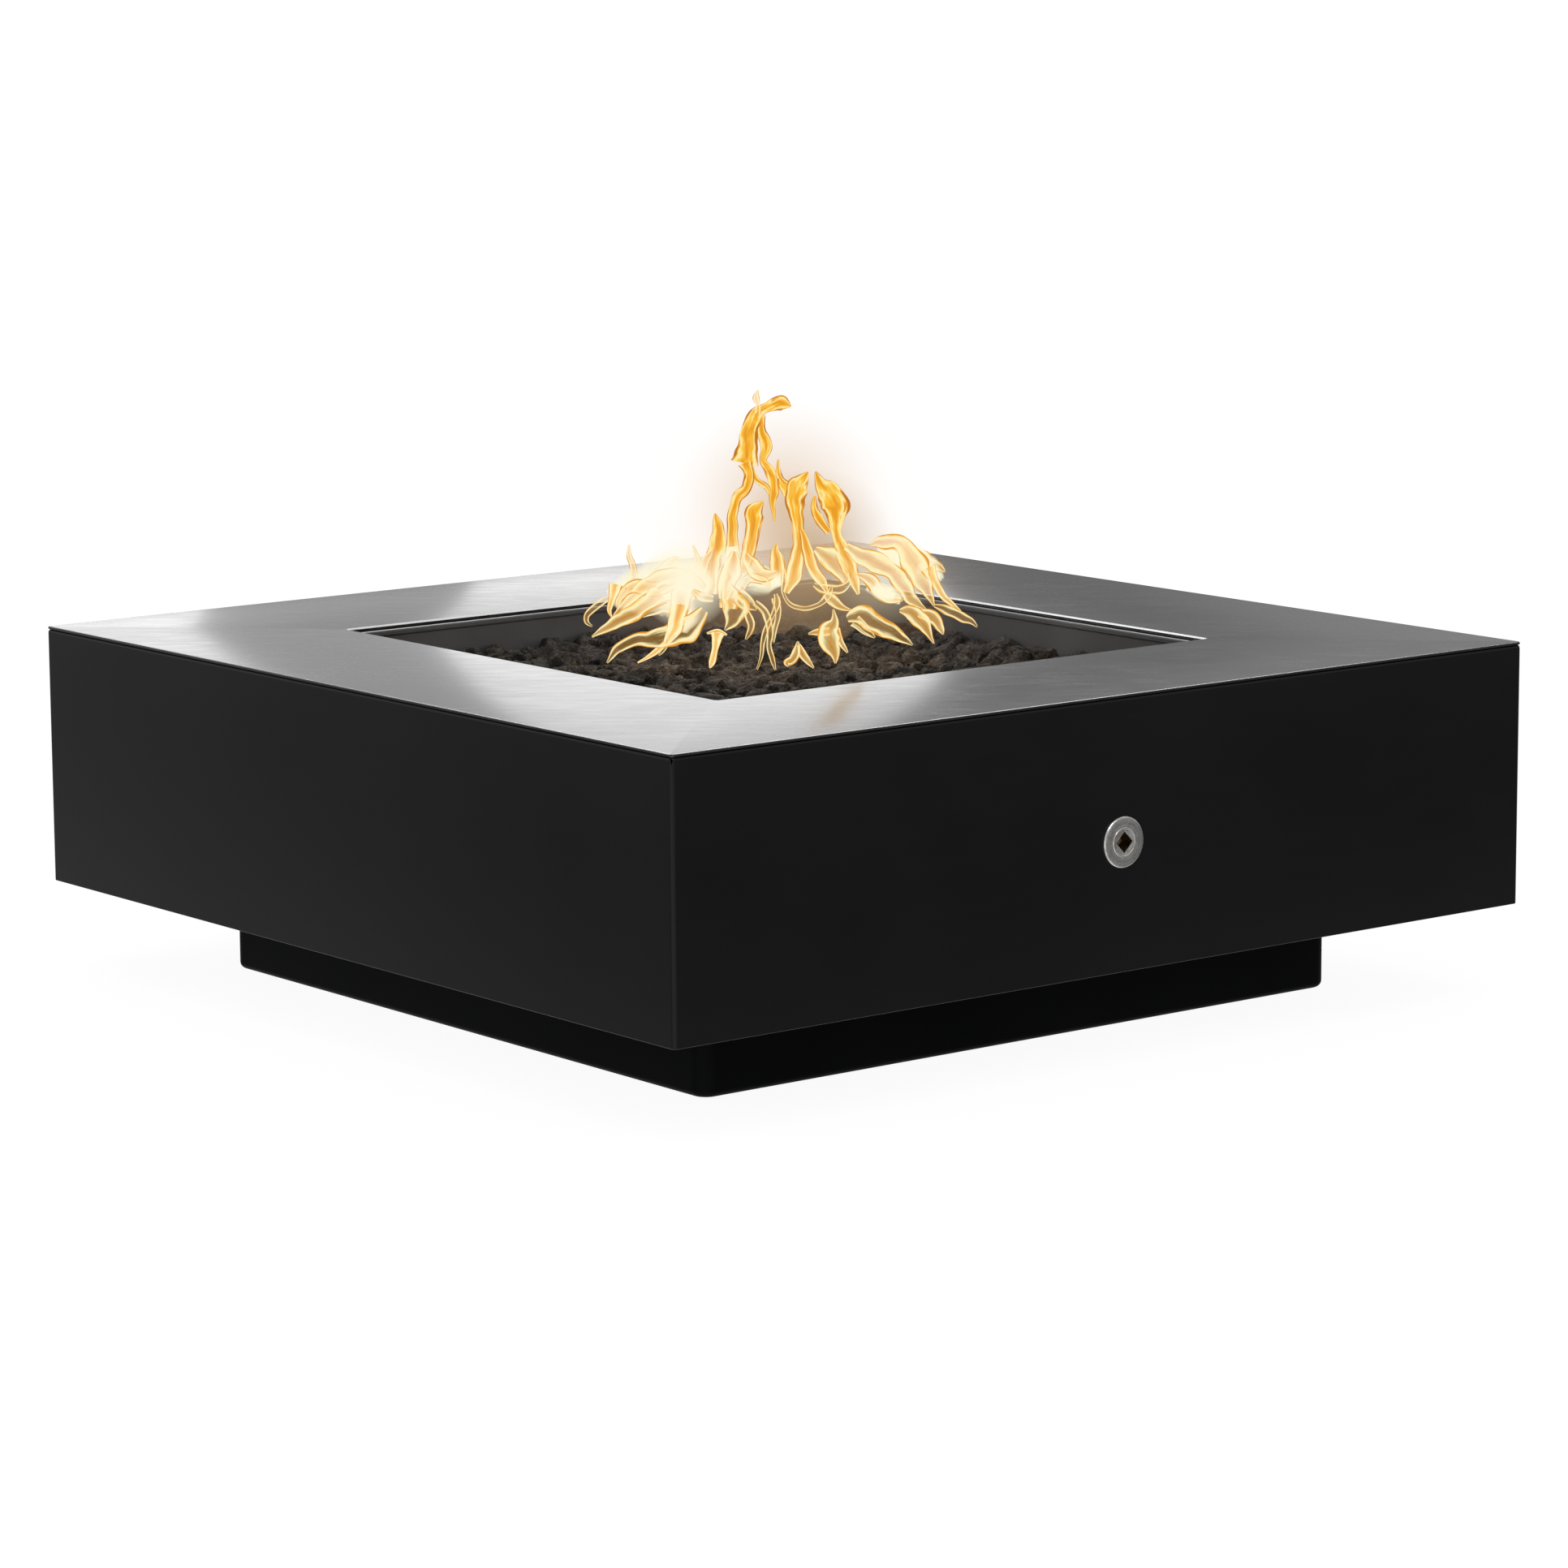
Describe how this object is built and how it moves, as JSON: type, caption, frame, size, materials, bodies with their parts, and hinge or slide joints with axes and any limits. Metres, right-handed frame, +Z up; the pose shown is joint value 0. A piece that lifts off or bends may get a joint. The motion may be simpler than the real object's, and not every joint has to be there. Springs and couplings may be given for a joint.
{
  "type": "gas fire pit",
  "caption": "Square black steel gas fire pit: wide flat deck round a recessed burner pan of lava rock, on a set-back plinth, with a round key-valve plate on the front.",
  "frame": {"origin": "on the floor, at the middle of the whole object's footprint (bounding box bottom centre)", "axes": "+Z up; the panel with the key valve faces -Y; +X to the right when the valve is seen from the front"},
  "size_m": [1.2192, 1.2228, 0.4064],
  "materials": {
    "powder_coat": "satin",
    "plinth_coat": "satin",
    "pan_coat": "matte",
    "nickel": "satin",
    "brass": "satin",
    "chrome": "polished",
    "bare_steel": "satin",
    "zinc": "satin",
    "seal": "satin",
    "connector": "satin",
    "lava_rock": "matte"
  },
  "bodies": {
    "pit": {"air_mixer": "brass", "ball_seat_inlet": "seal", "ball_seat_outlet": "seal", "burner_crossbar": "bare_steel", "burner_hub": "bare_steel", "burner_pan": "pan_coat", "burner_ring_inner_back": "bare_steel", "burner_ring_inner_front": "bare_steel", "burner_ring_outer": "bare_steel", "deck_plate": "powder_coat", "deck_rib_back_left": "powder_coat", "deck_rib_back_right": "powder_coat", "deck_rib_front_left": "powder_coat", "deck_rib_front_right": "powder_coat", "deck_rib_left_left": "powder_coat", "deck_rib_left_right": "powder_coat", "deck_rib_right_left": "powder_coat", "deck_rib_right_right": "powder_coat", "fascia_back": "powder_coat", "fascia_front": "powder_coat", "fascia_left": "powder_coat", "fascia_right": "powder_coat", "flare_nut_burner": "brass", "flare_nut_valve": "brass", "gas_connector": "connector", "gland_nut": "brass", "key_escutcheon": "nickel", "lava_rock_bed": "lava_rock", "opening_liner_back": "powder_coat", "opening_liner_front": "powder_coat", "opening_liner_left": "powder_coat", "opening_liner_right": "powder_coat", "pan_locknut": "brass", "pan_nipple": "bare_steel", "pan_washer": "bare_steel", "plinth_back": "plinth_coat", "plinth_bolt_back": "zinc", "plinth_bolt_front": "zinc", "plinth_bolt_left": "zinc", "plinth_bolt_right": "zinc", "plinth_front": "plinth_coat", "plinth_left": "plinth_coat", "plinth_nut_back": "zinc", "plinth_nut_front": "zinc", "plinth_nut_left": "zinc", "plinth_nut_right": "zinc", "plinth_right": "plinth_coat", "sleeve_locknut": "brass", "stem_packing": "seal", "supply_adapter": "brass", "underside_panel": "plinth_coat", "valve_body": "brass", "valve_end_cap": "brass", "valve_sleeve": "brass"},
    "valve_spindle": {"valve_stem": "brass", "valve_ball": "chrome"}
  },
  "joints": [
    {"name": "valve_turn", "type": "hinge", "parent": "pit", "child": "valve_spindle", "pos_m": [0, -0.5458, 0.2454], "axis": [0, 1, 0], "range_deg": [0, 90]}
  ]
}
